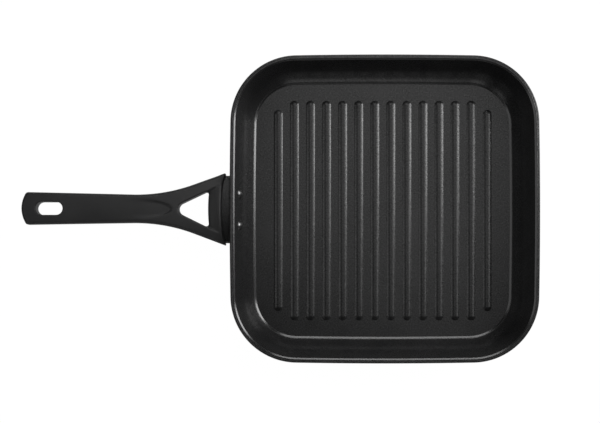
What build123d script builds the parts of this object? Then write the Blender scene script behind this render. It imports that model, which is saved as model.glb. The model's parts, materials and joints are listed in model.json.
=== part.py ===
from build123d import *

import math
import os

# A square, ribbed grill pan with a riveted bracket and a moulded handle, in millimetres.
# The origin is the middle of the flat underside, +Z points up, the handle points along -X.

# Pan body
rim_length = 280.8  # outside of the rim, in line with the handle
rim_breadth = 279.4  # outside of the rim, across the handle
body_height = 42.0
corner_radius = 60.3
side_bow = 0.75  # how far the corner arcs sit behind straight sides
floor_thickness = 5.0
wall_thickness = 3.2
wall_draft = 15.5  # degrees from upright

# Rim
rim_thickness = 4.6
rim_depth = 4.0
rim_outer_round = 1.7
rim_inner_round = 1.0
rim_under_round = 0.5

# Foot of the wall, inside and outside
cove_rise = 8.5  # height of the corner that the cove rounds, above the floor
cove_slope = 45.0  # degrees
cove_radius = 29.0
ledge_width = 1.5  # flat between the cove and the small step down to the floor
ledge_round = 0.5
step_height = 0.8
step_slope = 34.0  # degrees
step_round = 0.5
foot_round = 0.7
base_round = 28.0
slab_margin = 1.5  # past the rounding of the base, where the wall meets the floor slab

# Ribs
rib_count = 14
rib_width = 8.3
rib_height = 1.65
rib_side_margin = 16.53  # from the edge of the floor to the first and last rib
rib_end_margin = 15.03  # from the edge of the floor to the ends of the ribs
outer_rib_shortening = 17.0  # of the first and last rib, beside the rounded corners

# Base plate
base_plate_diameter = 190.0
base_plate_thickness = 1.0
base_plate_round = 0.3

# Rivets
rivet_spacing = 28.8
rivet_drop = 15.0  # from the top of the rim to the rivet on the inside of the wall
rivet_head_diameter = 9.8
rivet_head_height = 2.1
rivet_shank_diameter = 6.0
rivet_tail_diameter = 8.0
rivet_tail_height = 2.2
rivet_seat_depth = 0.4  # spare metal under the head and the tail, cut to the wall's shape

# Bracket between the wall and the handle
bracket_width = 61.5
bracket_height = 19.0
bracket_drop = 15.5  # from the top of the rim to the middle of the bracket
bracket_crown = 100.0
bracket_edge_round = 3.6
bracket_wall = 2.2
bracket_back = 3.0
lug_margin = 8.25  # from the middle of a lug to the bracket's side
lug_width = 6.8
lug_height = 7.5
lug_rise = 2.0  # middle of the lugs above the middle of the bracket
lug_length = 7.4  # past the bottom of the handle's socket

# Handle
handle_gap = 3.8  # from the rim to the corners of the handle's front
handle_length = 181.4
handle_margin = 2.35  # beside the bracket, on each side
handle_front_bow = 2.7
handle_end_width = 29.2
handle_end_bow = 4.2
handle_edge_round = 3.0
handle_end_round_spare = 0.2  # rounding of the end's corners beyond that of the long edges
bend_reach = 55.4  # from the front to where the arms would meet the grip without a bend
handle_bend_width = 24.4
handle_bend_radius = 146.0
lip_above = 2.5  # above the bracket, at the front
lip_below = 3.5
end_rise = 21.5  # from the front's top to the end's top
end_height = 17.6
top_bow = 3.16  # how far the top arches above a straight line from front to end
underside_bow = 5.9
handle_crown = 104.0
handle_front_round = 1.0

# Socket in the handle's front, and its screws
socket_depth = 6.0
socket_clearance = 0.2
lug_clearance = 0.3
screw_diameter = 3.5
screw_clearance = 0.4
screw_bite = 6.5  # thread in the lug
screw_head_diameter = 6.4
screw_head_height = 2.2
screw_head_round = 0.5
screw_recess_depth = 1.2
screw_recess_width = 0.9
screw_recess_length = 3.8
washer_diameter = 6.8
washer_thickness = 0.9
washer_bore = 3.8
washer_slit = 1.0
counterbore_clearance = 0.4
screw_web = 2.6  # plastic between the washer and the lug's pocket

# Window, cross-bar, thumb rest and hanging hole
window_reach = 15.6  # from the handle's front
window_bow = 0.9  # how far the window's front side bows away from the pan
window_length = 34.0  # to where the window's two long sides would meet
window_width = 34.0
window_point_round = 5.8
window_corner_round = 2.2
window_edge_round = 1.0
dip_reach = 4.4  # from the handle's front to where the cross-bar starts to fall
dip_front_width = 45.6
dip_back_width = 31.2  # at the window
dip_depth = 3.6
dip_bulge = 0.5
dip_run_out = 2.0
thumb_rest_reach = 48.4  # from the handle's front
thumb_rest_length = 47.4
thumb_rest_width = 14.8
thumb_rest_depth = 1.5
hole_margin = 12.0  # from the handle's end
hole_length = 25.6
hole_width = 12.0
hole_edge_round = 1.2

# Places along the handle, counted from the middle of the pan
handle_front = rim_length / 2 + handle_gap
handle_end = handle_front + handle_length
handle_middle = handle_front + handle_length / 2
handle_bend = handle_front + bend_reach
socket_bottom = handle_front + socket_depth
window_front = handle_front + window_reach
window_point = window_front + window_length
dip_front = handle_front + dip_reach
thumb_rest_front = handle_front + thumb_rest_reach
thumb_rest_back = thumb_rest_front + thumb_rest_length
hole_end = handle_end - hole_margin
hole_start = hole_end - hole_length

# Heights and widths that follow the bracket
bracket_middle = body_height - bracket_drop
handle_front_width = bracket_width + 2 * handle_margin
front_top = bracket_middle + bracket_height / 2 + lip_above
front_bottom = bracket_middle - bracket_height / 2 - lip_below
front_height = front_top - front_bottom
end_top = front_top + end_rise
end_bottom = end_top - end_height
middle_top = (front_top + end_top) / 2 + top_bow
middle_bottom = (front_bottom + end_bottom) / 2 + underside_bow
handle_top = [(-handle_front, front_top), (-handle_middle, middle_top), (-handle_end, end_top)]
handle_underside = [
    (-handle_front, front_bottom),
    (-handle_middle, middle_bottom),
    (-handle_end, end_bottom),
]

# One overrun for every cut that runs past a face
overrun = 10.0
near = 0.1  # how close an edge lies to a place where it is looked for
sweep_angle = 90.0  # degrees of each crowned band, more than the handle spans


def rim_arcs():
    """The rim's outside as eight tangent arcs: centre, radius, first angle and turn."""
    half_length = rim_length / 2
    half_breadth = rim_breadth / 2
    corner_x = half_length - corner_radius - side_bow
    corner_y = half_breadth - corner_radius - side_bow
    end_gap = (corner_y**2 + side_bow**2) / (2 * side_bow)
    flank_gap = (corner_x**2 + side_bow**2) / (2 * side_bow)
    end_radius = end_gap + corner_radius
    flank_radius = flank_gap + corner_radius
    end_angle = math.degrees(math.asin(corner_y / end_gap))
    flank_angle = math.degrees(math.asin(corner_x / flank_gap))
    corner_turn = 90 - end_angle - flank_angle
    arcs = []
    for side, turned in ((1, 0), (-1, 180)):
        end_centre = (side * (half_length - end_radius), 0)
        flank_centre = (0, side * (half_breadth - flank_radius))
        near_corner = (side * corner_x, side * corner_y)
        far_corner = (-side * corner_x, side * corner_y)
        arcs.append((end_centre, end_radius, turned - end_angle, 2 * end_angle))
        arcs.append((near_corner, corner_radius, turned + end_angle, corner_turn))
        arcs.append((flank_centre, flank_radius, turned + 90 - flank_angle, 2 * flank_angle))
        arcs.append((far_corner, corner_radius, turned + 90 + flank_angle, corner_turn))
    return arcs


def rim_outline(inset):
    """The rim's outline as a face, moved inwards."""
    edges = [CenterArc(at, radius - inset, start, turn) for at, radius, start, turn in rim_arcs()]
    return make_face(edges)


def draft_run(drop):
    """How far the wall leans in over a drop from the top of the rim."""
    return drop * math.tan(math.radians(wall_draft))


def outer_inset(drop):
    """Inset of the wall's outer face at a drop from the top of the rim."""
    return rim_thickness - wall_thickness / math.cos(math.radians(wall_draft)) + draft_run(drop)


def slab_inset():
    """Inset at which the wall's section ends and the floor slab begins."""
    rounding = base_round * math.tan(math.radians(90 - wall_draft) / 2)
    return outer_inset(body_height) + rounding + slab_margin


def outer_corners():
    """Corners and roundings of the wall's outside, from the base up to the rim."""
    corners = [
        (slab_inset(), 0),
        (outer_inset(body_height), 0),
        (outer_inset(rim_depth), body_height - rim_depth),
        (0, body_height - rim_depth),
        (0, body_height),
    ]
    rounds = [0, base_round, rim_under_round, rim_under_round, rim_outer_round]
    return corners, rounds


def cove_inset():
    """Inset of the corner that the cove rounds."""
    return rim_thickness + draft_run(body_height - floor_thickness - cove_rise)


def ledge_inset():
    """Inset of the ledge's outer edge, where the cove ends."""
    return cove_inset() + (cove_rise - step_height) / math.tan(math.radians(cove_slope))


def step_inset():
    """Inset of the small step's upper edge."""
    return ledge_inset() + ledge_width


def foot_inset():
    """Inset of the small step's lower edge, where the flat floor begins."""
    return step_inset() + step_height / math.tan(math.radians(step_slope))


def inner_corners():
    """Corners and roundings of the wall's inside, from the rim down to the floor."""
    corners = [
        (rim_thickness, body_height),
        (cove_inset(), floor_thickness + cove_rise),
        (ledge_inset(), floor_thickness + step_height),
        (step_inset(), floor_thickness + step_height),
        (foot_inset(), floor_thickness),
        (slab_inset(), floor_thickness),
    ]
    rounds = [rim_inner_round, cove_radius, ledge_round, step_round, foot_round, 0]
    return corners, rounds


def revolved_wall(corners, rounds):
    """One solid for each arc of the rim: the wall's section turned about the arc's centre."""
    pieces = []
    for (x, y), radius, start, turn in rim_arcs():
        outward = (math.cos(math.radians(start)), math.sin(math.radians(start)), 0)
        across = (math.sin(math.radians(start)), -math.cos(math.radians(start)), 0)
        plane = Plane(origin=(x, y, 0), x_dir=outward, z_dir=across)
        points = [(radius - inset, height) for inset, height in corners]
        section = make_face(FilletPolyline(*points, radius=rounds, close=True))
        pieces.append(revolve(plane * section, axis=Axis((x, y, 0), (0, 0, 1)), revolution_arc=turn))
    return pieces


def pan_envelope():
    """The pan's outside as one filled solid, which the bracket is cut to."""
    corners, rounds = outer_corners()
    corners = corners + [(slab_inset(), body_height)]
    rounds = rounds + [0]
    middle = extrude(rim_outline(slab_inset()), amount=body_height)
    return middle + revolved_wall(corners, rounds)


def rib(length):
    """One rib about the origin: a rounded bar with domed ends and a root in the floor."""
    half_width = rib_width / 2
    root = floor_thickness / 2
    crown = floor_thickness + rib_height
    arc_radius = (half_width**2 + rib_height**2) / (2 * rib_height)
    shoulder = half_width / 2
    shoulder_height = crown - arc_radius + math.sqrt(arc_radius**2 - shoulder**2)
    half = make_face(
        [
            ThreePointArc((0, crown), (shoulder, shoulder_height), (half_width, floor_thickness)),
            Line((half_width, floor_thickness), (half_width, root)),
            Line((half_width, root), (0, root)),
            Line((0, root), (0, crown)),
        ]
    )
    straight = length - rib_width
    whole = half + mirror(half, Plane.YZ)
    bar = Pos(0, straight / 2, 0) * extrude(Plane.XZ * whole, amount=straight)
    end = revolve(Plane.XZ * half, axis=Axis.Z, revolution_arc=180)
    return bar + Pos(0, straight / 2, 0) * end + Pos(0, -straight / 2, 0) * Rot(0, 0, 180) * end


def ribs():
    """All ribs in their places on the floor."""
    first = rim_length / 2 - foot_inset() - rib_side_margin - rib_width / 2
    pitch = 2 * first / (rib_count - 1)
    rib_length = rim_breadth - 2 * foot_inset() - 2 * rib_end_margin
    placed = []
    for index in range(rib_count):
        x = index * pitch - first
        length = rib_length - outer_rib_shortening if index in (0, rib_count - 1) else rib_length
        placed.append(Pos(x, 0, 0) * rib(length))
    return placed


def rivet_places():
    """A frame for each rivet on the wall's inner face, its Z axis pointing into the pan."""
    inset = rim_thickness + draft_run(rivet_drop)
    lean = math.radians(wall_draft)
    inwards = (math.cos(lean), 0, math.sin(lean))
    height = body_height - rivet_drop
    places = []
    for side in (1, -1):
        origin = (inset - rim_length / 2, side * rivet_spacing / 2, height)
        places.append(Plane(origin=origin, x_dir=(0, 1, 0), z_dir=inwards))
    return places


def rivet_holes():
    """The bores that the two rivet shanks fill, through the wall and the bracket."""
    reach = wall_thickness + bracket_back + overrun
    bores = []
    for place in rivet_places():
        bores.append(place * Pos(0, 0, -reach / 2) * Cylinder(rivet_shank_diameter / 2, reach + overrun))
    return bores


def make_pan_body():
    """The forged tray: slab, wall, rim and ribs, with the base recess and the rivet holes."""
    outer, outer_rounds = outer_corners()
    inner, inner_rounds = inner_corners()
    wall = revolved_wall(outer + inner, outer_rounds + inner_rounds)
    slab = extrude(rim_outline(slab_inset()), amount=floor_thickness)
    body = slab + wall + ribs()
    recess = Pos(0, 0, base_plate_thickness) * upright_cylinder(base_plate_diameter, -overrun)
    return body - recess - rivet_holes()


def make_base_plate():
    """The round steel plate, flush with the underside."""
    plate = upright_cylinder(base_plate_diameter, base_plate_thickness)
    return fillet(plate.edges().sort_by(Axis.Z)[0], base_plate_round)


def upright_cylinder(diameter, height):
    """A cylinder up from the origin, or down from it where the height is negative."""
    side = Align.MIN if height > 0 else Align.MAX
    return Cylinder(diameter / 2, abs(height), align=(Align.CENTER, Align.CENTER, side))


def crowned_oval(width, height, crown, rounding):
    """A wide section with a gently crowned top and bottom and rounded sides."""
    half_width = width / 2
    half_height = height / 2
    side = half_height - crown + math.sqrt(crown**2 - half_width**2)
    face = make_face(
        [
            ThreePointArc((-half_width, side), (0, half_height), (half_width, side)),
            Line((half_width, side), (half_width, -side)),
            ThreePointArc((half_width, -side), (0, -half_height), (-half_width, -side)),
            Line((-half_width, -side), (-half_width, side)),
        ]
    )
    return fillet(face.vertices(), rounding)


def along_handle(section, height, start, end):
    """A section across the handle, run from one place along its length to another."""
    plane = Plane(origin=(-start, 0, height), x_dir=(0, 1, 0), z_dir=(1, 0, 0))
    return extrude(plane * section, amount=start - end)


def lug_places():
    """Where the two lugs lie across the handle, and how high their middle is."""
    across = bracket_width / 2 - lug_margin
    return [(side * across, bracket_middle + lug_rise) for side in (1, -1)]


def screw_reach():
    """How far from the pan's middle the screws stand: the middle of the free lug."""
    return socket_bottom + lug_length / 2


def screw_seat():
    """Height of the flat in the handle that the lock washers press on."""
    return bracket_middle + lug_rise - lug_height / 2 - lug_clearance - screw_web


def bracket_back_run():
    """How far the bracket's back reaches out from the wall, along the handle."""
    return bracket_back / math.cos(math.radians(wall_draft))


def make_bracket(envelope):
    """A cup that follows the wall, with two drilled lugs that reach into the handle."""
    start = socket_bottom
    inner_end = rim_length / 2 - outer_inset(body_height) - overrun
    outside = crowned_oval(bracket_width, bracket_height, bracket_crown, bracket_edge_round)
    inside = crowned_oval(
        bracket_width - 2 * bracket_wall,
        bracket_height - 2 * bracket_wall,
        bracket_crown - bracket_wall,
        bracket_edge_round - bracket_wall,
    )
    cup = along_handle(outside, bracket_middle, start, inner_end) - envelope
    hollow = along_handle(inside, bracket_middle, start + overrun, inner_end)
    bracket = cup - (hollow - Pos(-bracket_back_run(), 0, 0) * envelope)
    for across, height in lug_places():
        section = Pos(across, 0) * Rectangle(lug_width, lug_height)
        bracket += along_handle(section, height, start + lug_length, inner_end) - envelope
    for across, height in lug_places():
        bracket -= Pos(-screw_reach(), across, height) * Cylinder(screw_diameter / 2, lug_height + overrun)
    return bracket - rivet_holes()


def make_rivets(envelope):
    """Two solid rivets, each seated on the wall inside and on the bracket's back outside.

    The second half of the wall's pieces starts with the one on the handle's side.
    """
    outer, outer_rounds = outer_corners()
    inner, inner_rounds = inner_corners()
    walls = revolved_wall(outer + inner, outer_rounds + inner_rounds)
    wall = walls[len(walls) // 2]
    back = Pos(-bracket_back_run(), 0, 0) * envelope
    head_radius = rivet_head_diameter / 2
    dome_radius = (head_radius**2 + rivet_head_height**2) / (2 * rivet_head_height)
    shoulder = head_radius / 2
    shoulder_height = rivet_head_height - dome_radius + math.sqrt(dome_radius**2 - shoulder**2)
    head_section = make_face(
        [
            ThreePointArc((0, rivet_head_height), (shoulder, shoulder_height), (head_radius, 0)),
            Line((head_radius, 0), (head_radius, -rivet_seat_depth)),
            Line((head_radius, -rivet_seat_depth), (0, -rivet_seat_depth)),
            Line((0, -rivet_seat_depth), (0, rivet_head_height)),
        ]
    )
    head = revolve(Plane.XZ * head_section, axis=Axis.Z)
    grip = wall_thickness + bracket_back
    tail = upright_cylinder(rivet_tail_diameter, -rivet_tail_height - rivet_seat_depth)
    tail = chamfer(tail.edges().sort_by(Axis.Z)[0], rivet_tail_height / 2)
    tail = Pos(0, 0, rivet_seat_depth - grip) * tail
    top = rivet_head_height / 2
    shank = Pos(0, 0, top) * upright_cylinder(rivet_shank_diameter, -top - grip - rivet_tail_height / 2)
    place = rivet_places()[1]
    left = (place * head - wall) + place * shank + (place * tail - back)
    return left, mirror(left, about=Plane.XZ)


def circle_through(first, second, third):
    """Centre and radius of the circle through three points of the handle's side view."""
    (ax, ay), (bx, by), (cx, cy) = first, second, third
    scale = 2 * (ax * (by - cy) + bx * (cy - ay) + cx * (ay - by))
    a_square = ax**2 + ay**2
    b_square = bx**2 + by**2
    c_square = cx**2 + cy**2
    x = (a_square * (by - cy) + b_square * (cy - ay) + c_square * (ay - by)) / scale
    y = (a_square * (cx - bx) + b_square * (ax - cx) + c_square * (bx - ax)) / scale
    return x, y, math.hypot(ax - x, ay - y)


def crowned_band(points, side, depth):
    """A long arched band, crowned on its top (side 1) or on its underside (side -1)."""
    x, z, radius = circle_through(*points)
    half_width = handle_front_width / 2 + overrun
    sag = handle_crown - math.sqrt(handle_crown**2 - half_width**2)
    edge = radius - side * sag
    flat = radius - side * depth
    section = make_face(
        [
            ThreePointArc((-half_width, edge), (0, radius), (half_width, edge)),
            Line((half_width, edge), (half_width, flat)),
            Line((half_width, flat), (-half_width, flat)),
            Line((-half_width, flat), (-half_width, edge)),
        ]
    )
    band = revolve(Plane.YZ * section, axis=Axis.Y, revolution_arc=sweep_angle)
    return Pos(x, 0, z) * Rot(0, -sweep_angle / 2, 0) * band


def handle_plan():
    """The handle's outline from above, bent into a grip and two arms."""
    front = -handle_front
    half_front = handle_front_width / 2
    half_end = handle_end_width / 2
    half_bend = handle_bend_width / 2
    end_corner = -handle_end + handle_end_bow
    face = make_face(
        [
            ThreePointArc((front, half_front), (front - handle_front_bow, 0), (front, -half_front)),
            Line((front, -half_front), (-handle_bend, -half_bend)),
            Line((-handle_bend, -half_bend), (end_corner, -half_end)),
            ThreePointArc((end_corner, -half_end), (-handle_end, 0), (end_corner, half_end)),
            Line((end_corner, half_end), (-handle_bend, half_bend)),
            Line((-handle_bend, half_bend), (front, half_front)),
        ]
    )
    bends = face.vertices().filter_by_position(Axis.X, -handle_bend - half_bend, -handle_bend + half_bend)
    face = fillet(bends, handle_bend_radius)
    end_round = handle_edge_round + handle_end_round_spare
    ends = face.vertices().filter_by_position(Axis.X, -handle_end, end_corner + end_round)
    return fillet(ends, end_round)


def window_outline():
    """The triangular window from above."""
    half_width = window_width / 2
    left, right, point = (-window_front, half_width), (-window_front, -half_width), (-window_point, 0)
    middle = (-window_front - window_bow, 0)
    face = make_face([ThreePointArc(left, middle, right), Line(right, point), Line(point, left)])
    corners = face.vertices().sort_by(Axis.X)
    return fillet(fillet(corners[1:], window_corner_round).vertices().sort_by(Axis.X)[0], window_point_round)


def hole_outline():
    """The long hanging hole from above."""
    return Pos(-(hole_start + hole_end) / 2, 0) * SlotOverall(hole_end - hole_start, hole_width)


def full_height(outline):
    """A column on an outline from above, from below the handle to over it."""
    reach = end_top - front_bottom + 2 * overrun
    return Pos(0, 0, front_bottom - overrun) * extrude(outline, amount=reach)


def handle_blank():
    """The handle's outline between two crowned bands."""
    depth = 2 * front_height + overrun
    top, underside = crowned_band(handle_top, 1, depth), crowned_band(handle_underside, -1, depth)
    return full_height(handle_plan()) & top & underside


def surface_height(points, reach):
    """Height of the handle's arched top or underside at a place along its length."""
    x, z, radius = circle_through(*points)
    return z + math.sqrt(radius**2 - (-reach - x) ** 2)


def crossbar_dip():
    """The rounded fall of the cross-bar between the arms, towards the window."""
    start, end = dip_front, window_front
    half_start, half_end = dip_front_width / 2, dip_back_width / 2
    spread = (half_start - half_end) / (end - start)
    front, back = start - dip_run_out, end + dip_run_out
    half_front, half_back = half_start + spread * dip_run_out, half_end - spread * dip_run_out
    plan = [(-front, half_front), (-front, -half_front), (-back, -half_back), (-back, half_back)]
    floor = front_top - front_height / 2
    column = extrude(make_face(Polyline(*plan, close=True)), amount=front_height)
    start_height = surface_height(handle_top, start)
    end_height = surface_height(handle_top, end) - dip_depth
    middle_height = (start_height + end_height) / 2 + dip_bulge
    points = [(-start, start_height), (-(start + end) / 2, middle_height), (-end, end_height)]
    return Pos(0, 0, floor) * column - crowned_band(points, 1, front_height)


def thumb_rest():
    """The shallow recess on the grip: deep by the arms, running out towards the end."""
    overall = thumb_rest_length + thumb_rest_width / 2
    middle = thumb_rest_front + overall / 2
    plan = Pos(-middle, 0) * SlotOverall(overall, thumb_rest_width)
    column = extrude(plan, amount=end_top + overrun)
    front_height = surface_height(handle_top, thumb_rest_front)
    back_height = surface_height(handle_top, thumb_rest_back)
    side = [
        (-thumb_rest_front, front_height - thumb_rest_depth),
        (-thumb_rest_front, back_height + overrun),
        (-thumb_rest_back, back_height + overrun),
        (-thumb_rest_back, back_height),
    ]
    wedge = extrude(Plane.XZ * make_face(Polyline(*side, close=True)), amount=thumb_rest_width)
    return column & Pos(0, thumb_rest_width / 2, 0) * wedge


def socket_tools():
    """The bracket's socket, the two lug pockets and the two stepped screw bores."""
    outside = crowned_oval(
        bracket_width + 2 * socket_clearance,
        bracket_height + 2 * socket_clearance,
        bracket_crown + socket_clearance,
        bracket_edge_round + socket_clearance,
    )
    front = handle_front - overrun
    tools = [along_handle(outside, bracket_middle, socket_bottom, front)]
    bore = screw_diameter + screw_clearance
    counterbore = washer_diameter + counterbore_clearance
    pocket_end = socket_bottom + lug_length + lug_clearance
    for across, height in lug_places():
        pocket = Pos(across, 0) * Rectangle(lug_width + 2 * lug_clearance, lug_height + 2 * lug_clearance)
        seat = Pos(-screw_reach(), across, screw_seat())
        tools.append(along_handle(pocket, height, pocket_end, front))
        tools.append(seat * upright_cylinder(bore, screw_web + lug_clearance))
        tools.append(seat * upright_cylinder(counterbore, -screw_seat()))
    return tools


def flat_edges(shape, start, end, half_width):
    """The top and bottom edges within two places along the handle and a half width."""
    found = []
    for edge in shape.edges():
        box = edge.bounding_box()
        upright = max(box.size.X, box.size.Y) < near
        across = max(-box.min.Y, box.max.Y)
        inside = -end - near < box.min.X and box.max.X < near - start and across < half_width + near
        if inside and not upright:
            found.append(edge)
    return found


def window_edges(shape):
    """The edges of the window on the top and the underside."""
    return flat_edges(shape, window_front, window_point, window_width / 2)


def hole_edges(shape):
    """The edges of the hanging hole on the top and the underside."""
    return flat_edges(shape, hole_start, hole_end, hole_width / 2)


def front_edges(shape):
    """The two long edges of the handle's front."""
    edges = flat_edges(shape, handle_front, handle_front + handle_front_bow, handle_front_width / 2)
    return [edge for edge in edges if edge.length > bracket_width]


def long_edges(shape):
    """The edges round the arms, the grip and its end."""
    front = front_edges(shape)
    edges = flat_edges(shape, handle_front, handle_end, handle_front_width / 2)
    return [edge for edge in edges if edge not in front]


def make_handle():
    """The moulded handle: rounded all over, then hollowed for the bracket and its screws."""
    handle = handle_blank()
    handle = fillet(long_edges(handle), handle_edge_round)
    handle -= full_height(hole_outline())
    handle = fillet(hole_edges(handle), hole_edge_round)
    handle = fillet(front_edges(handle), handle_front_round)
    handle = handle - full_height(window_outline()) - crossbar_dip()
    handle = fillet(window_edges(handle), window_edge_round)
    return handle - thumb_rest() - socket_tools()


def make_screws():
    """Two round-headed screws from below, each with a crossed recess in its head."""
    head_top = -washer_thickness
    head_bottom = head_top - screw_head_height
    thread_end = screw_web + 2 * lug_clearance + screw_bite
    head = Pos(0, 0, head_bottom) * upright_cylinder(screw_head_diameter, screw_head_height)
    head = fillet(head.edges().sort_by(Axis.Z)[0], screw_head_round)
    screw = head + Pos(0, 0, head_top) * upright_cylinder(screw_diameter, thread_end - head_top)
    for turned in (0, 90):
        bar = Box(screw_recess_length, screw_recess_width, 2 * screw_recess_depth)
        screw -= Pos(0, 0, head_bottom) * Rot(0, 0, turned) * bar
    return [Pos(-screw_reach(), across, screw_seat()) * screw for across, height in lug_places()]


def make_washers():
    """Two split lock washers between the screw heads and the handle."""
    ring = upright_cylinder(washer_diameter, -washer_thickness)
    ring -= Cylinder(washer_bore / 2, washer_thickness + overrun)
    ring -= Pos(-washer_diameter / 2, 0, 0) * Box(washer_diameter, washer_slit, washer_thickness + overrun)
    return [Pos(-screw_reach(), across, screw_seat()) * ring for across, height in lug_places()]


if __name__ == "__main__":
    os.makedirs("parts", exist_ok=True)
    envelope = pan_envelope()
    left_rivet, right_rivet = make_rivets(envelope)
    right_screw, left_screw = make_screws()
    right_washer, left_washer = make_washers()
    nodes = {
        "pan_body": make_pan_body(),
        "base_plate": make_base_plate(),
        "handle_bracket": make_bracket(envelope),
        "left_rivet": left_rivet,
        "right_rivet": right_rivet,
        "handle": make_handle(),
        "left_handle_screw": left_screw,
        "right_handle_screw": right_screw,
        "left_lock_washer": left_washer,
        "right_lock_washer": right_washer,
    }
    for name, shape in nodes.items():
        export_step(shape, f"parts/{name}.step")
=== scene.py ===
"""The looks of a square, ribbed grill pan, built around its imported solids.

Lengths in the classes are in millimetres, in the pan's own frame: the origin is the middle
of the flat underside, +Z points up and the handle points along -X. Meshes are in metres.
"""

from __future__ import annotations

import json
import logging
import math
from collections.abc import Sequence
from dataclasses import dataclass
from enum import Enum
from typing import Any

import bpy
import numpy as np
from mathutils import Matrix, Vector, geometry

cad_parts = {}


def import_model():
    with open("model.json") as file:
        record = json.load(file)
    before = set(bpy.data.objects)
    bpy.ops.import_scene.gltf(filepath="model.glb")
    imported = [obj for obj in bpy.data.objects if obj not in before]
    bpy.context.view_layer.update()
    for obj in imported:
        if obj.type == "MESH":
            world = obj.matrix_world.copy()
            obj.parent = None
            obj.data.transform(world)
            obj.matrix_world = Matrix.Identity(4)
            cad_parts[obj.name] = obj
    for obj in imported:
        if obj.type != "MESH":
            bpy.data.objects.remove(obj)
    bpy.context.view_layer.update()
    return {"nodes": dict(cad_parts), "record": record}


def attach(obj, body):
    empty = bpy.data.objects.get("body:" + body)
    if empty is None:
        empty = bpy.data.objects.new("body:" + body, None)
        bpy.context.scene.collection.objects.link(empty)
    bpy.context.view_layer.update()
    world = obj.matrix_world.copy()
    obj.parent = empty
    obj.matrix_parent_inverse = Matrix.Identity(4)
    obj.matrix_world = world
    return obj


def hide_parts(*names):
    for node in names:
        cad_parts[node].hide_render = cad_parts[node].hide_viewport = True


MILLIMETRE = 0.001
ROOT = "root"
END_MARGIN = 0.4  # from the end of a sampled run to the point next to it

Point = tuple[float, float]
Point3 = tuple[float, float, float]
Face = tuple[int, ...]

log = logging.getLogger("grill_pan")


class Slot(Enum):
    """The record's material slots."""

    COATING = "non_stick_coating"
    BRACKET = "bracket_coating"
    RIVET = "rivet_coating"
    HANDLE = "handle_plastic"
    BASE = "base_steel"
    SCREW = "screw_steel"


# Shapes in the plane and in space


def smooth_step(value: float) -> float:
    """Rises from 0 to 1 with level ends.

    Args:
        value: Place along the rise, 0 at its start and 1 at its end.

    Returns:
        The risen share.
    """
    held = min(1.0, max(0.0, value))
    return held * held * (3.0 - 2.0 * held)


def circle_through(first: Point, second: Point, third: Point) -> tuple[float, float, float]:
    """Finds the circle through three points.

    Args:
        first: First point.
        second: Second point.
        third: Third point.

    Returns:
        Both coordinates of the centre, and the radius.
    """
    (ax, ay), (bx, by), (cx, cy) = first, second, third
    scale = 2 * (ax * (by - cy) + bx * (cy - ay) + cx * (ay - by))
    squares = (ax**2 + ay**2, bx**2 + by**2, cx**2 + cy**2)
    x = (squares[0] * (by - cy) + squares[1] * (cy - ay) + squares[2] * (ay - by)) / scale
    y = (squares[0] * (cx - bx) + squares[1] * (ax - cx) + squares[2] * (bx - ax)) / scale
    return x, y, math.hypot(ax - x, ay - y)


def rounded_line(
    corners: Sequence[Point], rounds: Sequence[float], arc_step: float = 7.0, run_step: float = 5.0
) -> list[Point]:
    """Samples a line of straight runs whose corners are rounded by arcs.

    Args:
        corners: The corners, ends included.
        rounds: Radius at each corner, zero at a sharp one.
        arc_step: Degrees between points of an arc.
        run_step: Longest distance between points of a run.

    Returns:
        The points, with one close to each end of every long run.
    """
    arcs: list[list[Point]] = []
    for index, (corner, radius) in enumerate(zip(corners, rounds)):
        if radius <= 0 or index in (0, len(corners) - 1):
            arcs.append([corner])
            continue
        at = Vector(corner)
        back = (Vector(corners[index - 1]) - at).normalized()
        ahead = (Vector(corners[index + 1]) - at).normalized()
        opening = back.angle(ahead)
        centre = at + (back + ahead).normalized() * (radius / math.sin(opening / 2))
        first = at + back * (radius / math.tan(opening / 2)) - centre
        turn = (math.pi - opening) * (1 if back.cross(ahead) < 0 else -1)
        steps = max(3, math.ceil(abs(math.degrees(turn)) / arc_step))
        turned = [Matrix.Rotation(turn * step / steps, 2) @ first + centre for step in range(steps + 1)]
        arcs.append([(point.x, point.y) for point in turned])
    line = list(arcs[0])
    for arc in arcs[1:]:
        (ax, ay), (bx, by) = line[-1], arc[0]
        run = math.hypot(bx - ax, by - ay)
        margin = min(END_MARGIN, run / 4)
        count = max(1, math.ceil((run - 2 * margin) / run_step))
        shares = [(margin + (run - 2 * margin) * step / count) / run for step in range(count + 1)]
        if run <= 1:
            shares = []
        line += [(ax + (bx - ax) * share, ay + (by - ay) * share) for share in shares]
        line += arc
    return line


def add_piece(name: str, points: Sequence[Point3], faces: Sequence[Face]) -> bpy.types.Object:
    """Makes a smooth-shaded mesh object from points in millimetres.

    Args:
        name: The piece's name.
        points: Corners, in millimetres.
        faces: Corner numbers of each face, counter-clockwise from outside.

    Returns:
        The new object, at the origin.
    """
    mesh = bpy.data.meshes.new(name)
    mesh.from_pydata([Vector(point) * MILLIMETRE for point in points], [], faces)
    mesh.validate()
    mesh.shade_smooth()
    piece = bpy.data.objects.new(name, mesh)
    bpy.context.scene.collection.objects.link(piece)
    return piece


def bridge(first: int, second: int, count: int, flip: bool = False) -> list[Face]:
    """Joins two closed loops of the same number of points with quads.

    Args:
        first: Number of the first loop's first point.
        second: Number of the second loop's first point.
        count: Points in each loop.
        flip: Turns the faces round.

    Returns:
        The faces.
    """
    faces = []
    for index in range(count):
        ahead = (index + 1) % count
        face = (first + index, first + ahead, second + ahead, second + index)
        faces.append(face[::-1] if flip else face)
    return faces


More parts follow.
